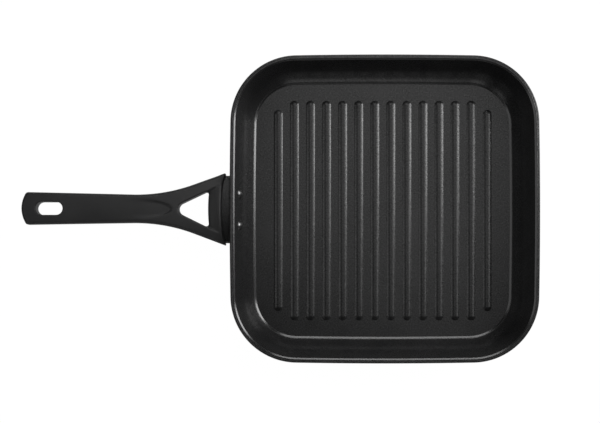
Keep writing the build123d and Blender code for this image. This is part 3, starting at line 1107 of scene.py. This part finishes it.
@dataclass(frozen=True)
class Handle:
    """The moulded handle: two arms, cross-bar, window, grip, thumb rest and hanging hole."""

    front: float = 144.2
    front_width: float = 66.2
    front_bow: float = 2.7
    corner_round: float = 0.7
    corner_edge: float = 0.5
    corner_run: float = 11.0
    front_round: float = 3.0
    front_round_run: float = 6.0
    front_steepness: float = 3.0
    edge_round: float = 3.0
    bend: float = 199.6
    bend_width: float = 24.4
    bend_round: float = 146.0
    end: float = 325.6
    end_width: float = 29.2
    end_bow: float = 4.2
    end_round: float = 3.2
    front_top: float = 38.5
    middle_top: float = 52.41
    end_top: float = 60.0
    front_bottom: float = 13.5
    middle_bottom: float = 33.85
    end_bottom: float = 42.4
    crown: float = 104.0
    window_front: float = 159.2
    window_point: float = 193.8
    window_width: float = 34.0
    window_point_round: float = 5.8
    window_corner_round: float = 2.2
    window_bow: float = 0.9
    window_edge: float = 1.6
    hole_start: float = 289.0
    hole_end: float = 312.8
    hole_width: float = 11.7
    hole_edge: float = 1.2
    dip_front: float = 148.0
    dip_front_width: float = 47.0
    dip_back_width: float = 34.6
    dip_tail: float = 6.0
    dip_depth: float = 3.6
    dip_bulge: float = 0.75
    dip_blend: float = 1.4
    rest_front: float = 192.6
    rest_length: float = 47.4
    rest_width: float = 15.6
    rest_taper: float = 30.0
    rest_depth: float = 1.4
    rest_blend: float = 2.4
    rest_soft: float = 4.0
    rest_soft_start: float = 200.0
    rest_soft_run: float = 30.0
    grid: float = 1.1
    row_share: float = 0.866
    grid_gap: float = 0.55
    feature_gap: float = 0.45
    front_steps: int = 10
    end_steps: int = 6
    bend_arc_step: float = 1.5
    window_steps: int = 6
    hole_steps: int = 16
    edge_steps: int = 7
    dip_steps: int = 10
    rest_run_steps: int = 5
    rest_arc_steps: int = 60
    bore_turns: int = 48
    screw_reach: float = 153.9
    screw_side: float = 22.5
    screw_seat: float = 21.85
    bore_radius: float = 3.6

    def top(self) -> Arch:
        """Finds the arched top before anything is sunk into it.

        Returns:
            The arch.
        """
        middle = (-(self.front + self.end) / 2, self.middle_top)
        return Arch((-self.front, self.front_top), middle, (-self.end, self.end_top), self.crown, 1)

    def underside(self) -> Arch:
        """Finds the arched underside.

        Returns:
            The arch.
        """
        middle = (-(self.front + self.end) / 2, self.middle_bottom)
        return Arch((-self.front, self.front_bottom), middle, (-self.end, self.end_bottom), self.crown, -1)

    def dip(self) -> Arch:
        """Finds the surface of the cross-bar, which falls towards the window.

        Returns:
            The arch.
        """
        start, end = -self.dip_front, -self.window_front
        top = self.top()
        first = top.height(start, 0)
        last = top.height(end, 0) - self.dip_depth
        middle = ((start + end) / 2, (first + last) / 2 + self.dip_bulge)
        return Arch((start, first), middle, (end, last), self.crown, 1)

    def dip_half_width(self, x: float) -> float:
        """Half the width of the cross-bar's fall.

        Args:
            x: Place along the handle.

        Returns:
            The half width.
        """
        share = (-x - self.dip_front) / (self.window_front - self.dip_front)
        return (self.dip_front_width + (self.dip_back_width - self.dip_front_width) * share) / 2

    def rest_spread(self, x: float) -> float:
        """Width over which the thumb rest's edge falls.

        Args:
            x: Place along the handle.

        Returns:
            The width.
        """
        run = (-x - self.rest_soft_start) / self.rest_soft_run
        return self.rest_blend + self.rest_soft * smooth_step(run)

    def rest_distance(self, x: float, y: float) -> float:
        """Distance from the thumb rest's edge.

        Args:
            x: Place along the handle.
            y: Place across the handle.

        Returns:
            The distance, negative inside the rest.
        """
        half = self.rest_width / 2
        along = max(0.0, x + self.rest_front + self.rest_taper)
        level = math.hypot(along / self.rest_taper, y / half)
        slope = math.hypot(along / self.rest_taper**2, y / half**2)
        return (level - 1) * level / slope if slope > 0 else -half

    def surface(self, x: float, y: float) -> float:
        """Height of the finished top.

        Args:
            x: Place along the handle.
            y: Place across the handle.

        Returns:
            The height.
        """
        height = self.top().height(x, y)
        if -self.window_front - self.dip_tail < x < -self.dip_front:
            fall = max(0.0, height - self.dip().height(x, y))
            inside = (self.dip_half_width(x) - abs(y)) / self.dip_blend
            left = 1 - smooth_step((-x - self.window_front) / self.dip_tail)
            height -= fall * smooth_step(inside) * left
        spread = self.rest_spread(x)
        if -self.rest_front - self.rest_length < x < -self.rest_front + spread:
            fade = 1 - smooth_step(max(0.0, -self.rest_front - x) / self.rest_length)
            inside = 0.5 - self.rest_distance(x, y) / spread
            height -= self.rest_depth * fade * smooth_step(inside)
        return height

    def half_outline(self) -> tuple[list[Point], list[float]]:
        """Corners of one half of the outline from above, from the front's middle to the end's.

        Returns:
            The corners and the rounding at each.
        """
        half, half_end = self.front_width / 2, self.end_width / 2
        corners: list[Point] = []
        for step in range(self.front_steps + 1):
            y = half * step / self.front_steps
            corners.append((-self.front - self.front_bow * (1 - (y / half) ** 2), y))
        rounds = [0.0] * self.front_steps + [self.corner_round]
        corners += [(-self.bend, self.bend_width / 2), (-self.end + self.end_bow, half_end)]
        rounds += [self.bend_round, self.end_round]
        for step in range(1, self.end_steps + 1):
            y = half_end * (1 - step / self.end_steps)
            corners.append((-self.end + self.end_bow * (y / half_end) ** 2, y))
            rounds.append(0.0)
        return corners, rounds

    def edge(self, x: float, y: float) -> tuple[float, float]:
        """Rounding of the outer edge: full at the front's middle, small at its corners.

        Args:
            x: Place along the handle.
            y: Place across the handle.

        Returns:
            The rounding's width, and how much deeper than wide it is on the top.
        """
        run = smooth_step((-x - self.front - self.front_bow) / self.front_round_run)
        near_corner = smooth_step((abs(y) - self.front_width / 2) / self.corner_run + 1)
        first = self.front_round + (self.corner_edge - self.front_round) * near_corner
        depth = 1 + (self.front_steepness - 1) * (1 - near_corner) * (1 - run)
        return first + (self.edge_round - first) * run, depth

    def outline(self) -> EdgeLoop:
        """The outline from above, counter-clockwise.

        Returns:
            The loop.
        """
        corners, rounds = self.half_outline()
        line = rounded_line(corners, rounds, arc_step=self.bend_arc_step, run_step=2.5)
        whole = line + [(x, -y) for x, y in reversed(line[1:-1])]
        edges = [self.edge(x, y) for x, y in whole]
        return EdgeLoop(whole, [radius for radius, _ in edges], [depth for _, depth in edges])

    def window(self) -> list[Point]:
        """The window's outline from above, clockwise.

        Returns:
            The points.
        """
        half, steps = self.window_width / 2, self.window_steps
        front, point = -self.window_front, -self.window_point
        bowed = [
            (front - self.window_bow * (1 - (step / steps) ** 2), half * step / steps)
            for step in range(steps - 1)
        ]
        corners = [(x, -y) for x, y in bowed] + [(front, -half), (point, 0.0), (front, half)] + bowed[::-1]
        flat = [0.0] * len(bowed)
        rounds = flat + [self.window_corner_round, self.window_point_round, self.window_corner_round] + flat
        return rounded_line(corners, rounds, arc_step=8.0, run_step=2.0)[:-1]

    def hole(self) -> list[Point]:
        """The hanging hole's outline from above, clockwise.

        Returns:
            The points.
        """
        radius = self.hole_width / 2
        points: list[Point] = []
        for centre, start in ((-self.hole_start - radius, 90), (-self.hole_end + radius, -90)):
            for step in range(self.hole_steps + 1):
                angle = math.radians(start - 180 * step / self.hole_steps)
                points.append((centre + radius * math.cos(angle), radius * math.sin(angle)))
        return points

    def dip_line(self, share: float, side: int) -> list[Point]:
        """A line along the edge of the cross-bar's fall.

        Args:
            share: Place across the edge, 0 at its outer side and 1 at its inner side.
            side: 1 or -1, the half of the handle.

        Returns:
            The points.
        """
        line: list[Point] = []
        for step in range(self.dip_steps + 1):
            run = (self.window_front + self.dip_tail - self.dip_front) * step / self.dip_steps
            x = -self.dip_front - run
            line.append((x, side * (self.dip_half_width(x) - share * self.dip_blend)))
        return line

    def rest_line(self, share: float) -> list[Point]:
        """A line along the edge of the thumb rest.

        Args:
            share: Place across the edge, 0 at its inner side and 1 at its outer side.

        Returns:
            The points.
        """
        off = (share - 0.5) * self.rest_blend
        radius = self.rest_width / 2 + off
        centre = -self.rest_front - self.rest_taper
        run, steps = self.rest_length - self.rest_taper, self.rest_run_steps
        straight = [centre - run * step / steps for step in range(steps, 0, -1)]
        turns = range(self.rest_arc_steps + 1)
        arc = [math.radians(90 - 180 * step / self.rest_arc_steps) for step in turns]
        reach = self.rest_taper + off
        line = [(x, radius) for x in straight]
        line += [(centre + reach * math.cos(angle), radius * math.sin(angle)) for angle in arc]
        return line + [(x, -radius) for x in reversed(straight)]

    def features(self) -> list[list[Point]]:
        """Lines along the soft steps in the top, where the mesh has to be fine.

        Returns:
            Open lines.
        """
        lines: list[list[Point]] = []
        for share in (0.0, 0.25, 0.5, 0.75, 1.0):
            lines += [self.dip_line(share, 1), self.dip_line(share, -1), self.rest_line(share)]
        return lines

    def roll(self, loop: EdgeLoop, points: list[Point3], faces: list[Face]) -> tuple[int, int, int]:
        """Rounds an edge ring by ring, from the top over the side to the underside.

        Args:
            loop: The edge.
            points: The handle's points, which grow.
            faces: The handle's faces, which grow.

        Returns:
            Numbers of the first point of the top ring and of the lowest, and a ring's points.
        """
        under, steps, starts = self.underside(), self.edge_steps, []
        inward = inward_normals(loop.points)
        for side in (1, -1):
            for step in range(steps + 1) if side < 0 else range(steps, -1, -1):
                angle = math.pi / 2 * step / steps
                starts.append(len(points))
                for (x, y), (nx, ny), radius, depth in zip(loop.points, inward, loop.radii, loop.depths):
                    off = radius * (1 - math.cos(angle))
                    px, py = x + nx * off, y + ny * off
                    fall = radius * (1 - math.sin(angle))
                    z = self.surface(px, py) - fall * depth if side > 0 else under.height(px, py) + fall
                    points.append((px, py, z))
        for first, second in zip(starts, starts[1:]):
            faces += bridge(second, first, len(loop.points))
        return starts[0], starts[-1], len(loop.points)

    def build(self) -> bpy.types.Object:
        """Rounds the edges and fills the top and the underside between them.

        Returns:
            The piece.
        """
        points: list[Point3] = []
        faces: list[Face] = []
        loops = [self.outline()]
        for opening, edge in ((self.window(), self.window_edge), (self.hole(), self.hole_edge)):
            loops.append(EdgeLoop(opening, [edge] * len(opening), [1.0] * len(opening)))
        rims = [self.roll(loop, points, faces) for loop in loops]
        borders = [[point[:2] for point in points[start : start + count]] for start, _, count in rims]
        triangles, places = self.fill(borders)
        tops = [start + i for start, _, count in rims for i in range(count)]
        lows = [low + i for _, low, count in rims for i in range(count)]
        added = places[len(tops) :]
        for numbers, height in ((tops, self.surface), (lows, self.underside().height)):
            for x, y in added:
                numbers.append(len(points))
                points.append((x, y, height(x, y)))
        for a, b, c in triangles:
            faces.append((tops[a], tops[b], tops[c]))
            faces.append((lows[c], lows[b], lows[a]))
        return self.bored(add_piece("handle_grip", points, faces))

    def bored(self, piece: bpy.types.Object) -> bpy.types.Object:
        """Sinks the bores of the two screws into the underside.

        Args:
            piece: The handle without bores.

        Returns:
            The same piece.
        """
        radius, seat = self.bore_radius, self.screw_seat
        points, faces = lathe(((0.0, seat), (radius, seat), (radius, -seat), (0.0, -seat)), self.bore_turns)
        tools = []
        for side in (1, -1):
            placed = [(x - self.screw_reach, y + side * self.screw_side, z) for x, y, z in points]
            tool = add_piece("bore_tool", placed, faces)
            cut = piece.modifiers.new("bore", "BOOLEAN")
            cut.operation = "DIFFERENCE"
            cut.solver = "EXACT"
            cut.object = tool
            tools.append(tool)
        plain(piece)
        discard(*tools)
        return piece

    def scatter(self, rims: Sequence[Sequence[Point]]) -> list[Point]:
        """Spreads points over the handle: the rims, the soft steps and an even grid.

        Args:
            rims: Closed lines, the outer one first.

        Returns:
            The points, those of the rims first.
        """
        places: list[Point] = [tuple(point) for rim in rims for point in rim]
        border = np.array(places)
        for line in self.features():
            places += [point for point in line if self.clear(point, border, self.feature_gap)]
        seeds = np.array(places)
        low, high = border.min(axis=0), border.max(axis=0)
        rows = int((high[1] - low[1]) / (self.grid * self.row_share)) + 1
        columns = int((high[0] - low[0]) / self.grid) + 1
        for row in range(rows):
            y = low[1] + row * self.grid * self.row_share
            line = [(low[0] + (column + row % 2 / 2) * self.grid, y) for column in range(columns)]
            places += [point for point in line if self.clear(point, seeds, self.grid * self.grid_gap)]
        return places

    def fill(self, rims: Sequence[Sequence[Point]]) -> tuple[list[Face], list[Point]]:
        """Fills the space between the outline, the window and the hole with small triangles.

        Args:
            rims: Closed lines, the outer one first.

        Returns:
            Triangles, and the points that they number, those of the rims first.
        """
        places = self.scatter(rims)
        edges: list[Face] = []
        start = 0
        for rim in rims:
            edges += [(start + i, start + (i + 1) % len(rim)) for i in range(len(rim))]
            start += len(rim)
        result = geometry.delaunay_2d_cdt([Vector(point) for point in places], edges, [], 0, 1e-6)
        made, triangles, origins = result[0], result[2], result[3]
        number = {index: source[0] for index, source in enumerate(origins) if source}
        kept: list[Face] = []
        for face in triangles:
            centre = sum((made[index] for index in face), Vector((0, 0))) / len(face)
            if self.inside(centre, rims):
                kept.append(tuple(number[index] for index in face))
        return kept, places

    @staticmethod
    def clear(point: Point, others: np.ndarray, gap: float) -> bool:
        """Tells whether a point keeps a gap from all others.

        Args:
            point: The point.
            others: The others, one in each row.
            gap: The gap.

        Returns:
            True if none is nearer.
        """
        return bool(((others[:, 0] - point[0]) ** 2 + (others[:, 1] - point[1]) ** 2).min() > gap**2)

    @staticmethod
    def inside(point: Vector, rims: Sequence[Sequence[Point]]) -> bool:
        """Tells whether a point lies inside the first line and outside the others.

        Args:
            point: The point.
            rims: Closed lines, the outer one first.

        Returns:
            True on the handle's material.
        """
        found = []
        for rim in rims:
            crossings = 0
            for (ax, ay), (bx, by) in zip(rim, list(rim[1:]) + [rim[0]]):
                if (ay > point.y) != (by > point.y):
                    crossings += point.x < ax + (bx - ax) * (point.y - ay) / (by - ay)
            found.append(crossings % 2 == 1)
        return found[0] and not any(found[1:])


def inward_normals(loop: Sequence[Point]) -> list[Point]:
    """Unit vectors to the left of a closed line, at each of its points.

    Args:
        loop: The line's points.

    Returns:
        The vectors.
    """
    count = len(loop)
    normals = []
    for index in range(count):
        at, ahead, back = Vector(loop[index]), Vector(loop[(index + 1) % count]), Vector(loop[index - 1])
        first, second = (at - back).normalized(), (ahead - at).normalized()
        along = (first + second).normalized()
        normals.append((-along.y, along.x))
    return normals


# The studio


@dataclass(frozen=True)
class Softbox:
    """A soft rectangular lamp that faces the pan.

    Attributes:
        name: The lamp's name.
        around: Direction in plan, in degrees from +X.
        above: Degrees above the ground.
        power: Power in watts.
        width: Width in metres.
        height: Height in metres.
        distance: Metres from the pan.
        target: Height that it faces, in metres.
        lift: How much higher than its direction says it hangs, in metres.
    """

    name: str
    around: float
    above: float
    power: float
    width: float = 0.34
    height: float = 0.34
    distance: float = 0.85
    target: float = 0.02
    lift: float = 0.03

    def hang(self) -> bpy.types.Object:
        """Hangs the lamp.

        Returns:
            The lamp.
        """
        around, above = math.radians(self.around), math.radians(self.above)
        level = math.cos(above) * self.distance
        height = math.sin(above) * self.distance + self.lift
        place = Vector((math.cos(around) * level, math.sin(around) * level, height))
        data = bpy.data.lights.new(self.name, "AREA")
        data.shape = "RECTANGLE"
        data.size, data.size_y = self.width, self.height
        data.energy = self.power
        lamp = bpy.data.objects.new(self.name, data)
        lamp.location = place
        lamp.rotation_euler = (Vector((0, 0, self.target)) - place).to_track_quat("-Z", "Y").to_euler()
        lamp.visible_camera = False
        bpy.context.scene.collection.objects.link(lamp)
        return lamp


@dataclass(frozen=True)
class Studio:
    """Floor, lamps, surroundings and camera."""

    lamps: tuple[Softbox, ...] = (
        Softbox("key", 20, 30, 3.5, 0.4, 0.3),
        Softbox("key_top", 10, 50, 1.0, 0.5, 0.3),
        Softbox("far_strip", 90, 33, 1.2, 0.5, 0.15),
        Softbox("far_high_panel", 90, 60, 0.6, 0.5, 0.3),
        Softbox("left_panel", 180, 45, 0.7, 0.5, 0.4),
        Softbox("near_left_panel", 225, 25, 0.4),
        Softbox("near_panel", 270, 20, 0.5),
        Softbox("overhead_panel", 60, 80, 0.6, 0.5, 0.5),
    )
    floor_half: float = 3000.0
    floor_grey: float = 0.65
    floor_white: float = 1.045
    floor_share: float = 0.95
    mirrored_share: float = 0.35
    dim: float = 0.01
    lens: float = 93.0
    sensor: float = 36.0
    picture_width: float = 600.0
    shift: float = 57.5
    camera_place: Point3 = (-0.0767, -0.05425, 1.442)

    def build(self) -> None:
        """Sets up everything round the pan."""
        self.floor()
        self.surroundings()
        for lamp in self.lamps:
            lamp.hang()
        self.camera()

    def floor(self) -> None:
        """Lays a pale floor that looks white to the camera and keeps the pan's shadow."""
        half = self.floor_half
        corners = [(-half, -half, 0), (half, -half, 0), (half, half, 0), (-half, half, 0)]
        floor = add_piece("floor", corners, [(0, 1, 2, 3)])
        material = bpy.data.materials.new("pale_floor")
        material.use_nodes = True
        nodes = Nodes(material.node_tree)
        grey = self.floor_grey
        matt = nodes.add("ShaderNodeBsdfDiffuse", {"Color": (grey, grey, grey, 1)})
        white = nodes.add("ShaderNodeEmission", {"Strength": self.floor_white})
        path = nodes.add("ShaderNodeLightPath")
        mirrored = nodes.math("MULTIPLY", (path, "Is Glossy Ray"), self.mirrored_share)
        seen = nodes.math("MAXIMUM", (path, "Is Camera Ray"), (mirrored, 0))
        through = nodes.math("MAXIMUM", (seen, 0), (path, "Is Transmission Ray"))
        share = nodes.math("MULTIPLY", (through, 0), self.floor_share)
        self.blend(nodes, "ShaderNodeOutputMaterial", (share, 0), matt, white)
        floor.data.materials.append(material)

    def surroundings(self) -> None:
        """Makes a world that is white to the camera and dim to the pan."""
        world = bpy.data.worlds.new("studio")
        bpy.context.scene.world = world
        world.use_nodes = True
        nodes = Nodes(world.node_tree)
        dim = nodes.add("ShaderNodeBackground", {"Color": (1, 1, 1, 1), "Strength": self.dim})
        white = nodes.add("ShaderNodeBackground", {"Color": (1, 1, 1, 1)})
        path = nodes.add("ShaderNodeLightPath")
        self.blend(nodes, "ShaderNodeOutputWorld", (path, "Is Camera Ray"), dim, white)

    @staticmethod
    def blend(
        nodes: Nodes,
        kind: str,
        share: tuple[bpy.types.Node, str | int],
        first: bpy.types.Node,
        second: bpy.types.Node,
    ) -> None:
        """Ends a tree with a mix of two shaders.

        Args:
            nodes: The tree.
            kind: Type of the output node.
            share: Node and output that give the second shader's share.
            first: First shader.
            second: Second shader.
        """
        mix = nodes.add("ShaderNodeMixShader")
        nodes.join(share[0], share[1], mix, "Fac")
        nodes.join(first, 0, mix, 1)
        nodes.join(second, 0, mix, 2)
        nodes.join(mix, 0, nodes.add(kind), "Surface")

    def camera(self) -> None:
        """Hangs the camera over the handle's side of the pan, looking straight down."""
        data = bpy.data.cameras.new("camera")
        data.lens = self.lens
        data.sensor_width = self.sensor
        data.shift_y = self.shift / self.picture_width
        data.clip_start = 0.05
        data.clip_end = 50.0
        camera = bpy.data.objects.new("camera", data)
        camera.location = self.camera_place
        bpy.context.scene.collection.objects.link(camera)
        bpy.context.scene.camera = camera


def main() -> None:
    """Builds the pan's looks piece by piece, then the studio."""
    logging.basicConfig(level=logging.INFO, format="%(name)s: %(message)s")
    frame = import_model()
    bpy.context.scene.view_settings.view_transform = "Standard"
    finishes = Finishes()
    carried = {entry["node"]: Slot(entry["material_slot"]) for entry in frame["record"]["subparts"]}
    for node, slot in carried.items():
        finishes.dress(frame["nodes"][node], slot)
    made = (
        (PanShell().build(), Slot.COATING, ("pan_body",)),
        (GrillRibs().build(finishes.by_slot[Slot.COATING]), Slot.COATING, ()),
        (Rivets().build(finishes.by_slot[Slot.RIVET]), Slot.RIVET, ("left_rivet", "right_rivet")),
        (Handle().build(), Slot.HANDLE, ("handle",)),
    )
    for piece, slot, nodes in made:
        finishes.dress(piece, slot)
        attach(piece, ROOT)
        if nodes:
            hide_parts(*nodes)
        log.info("%s: %d faces", piece.name, len(piece.data.polygons))
    Studio().build()


if __name__ == "__main__":
    main()
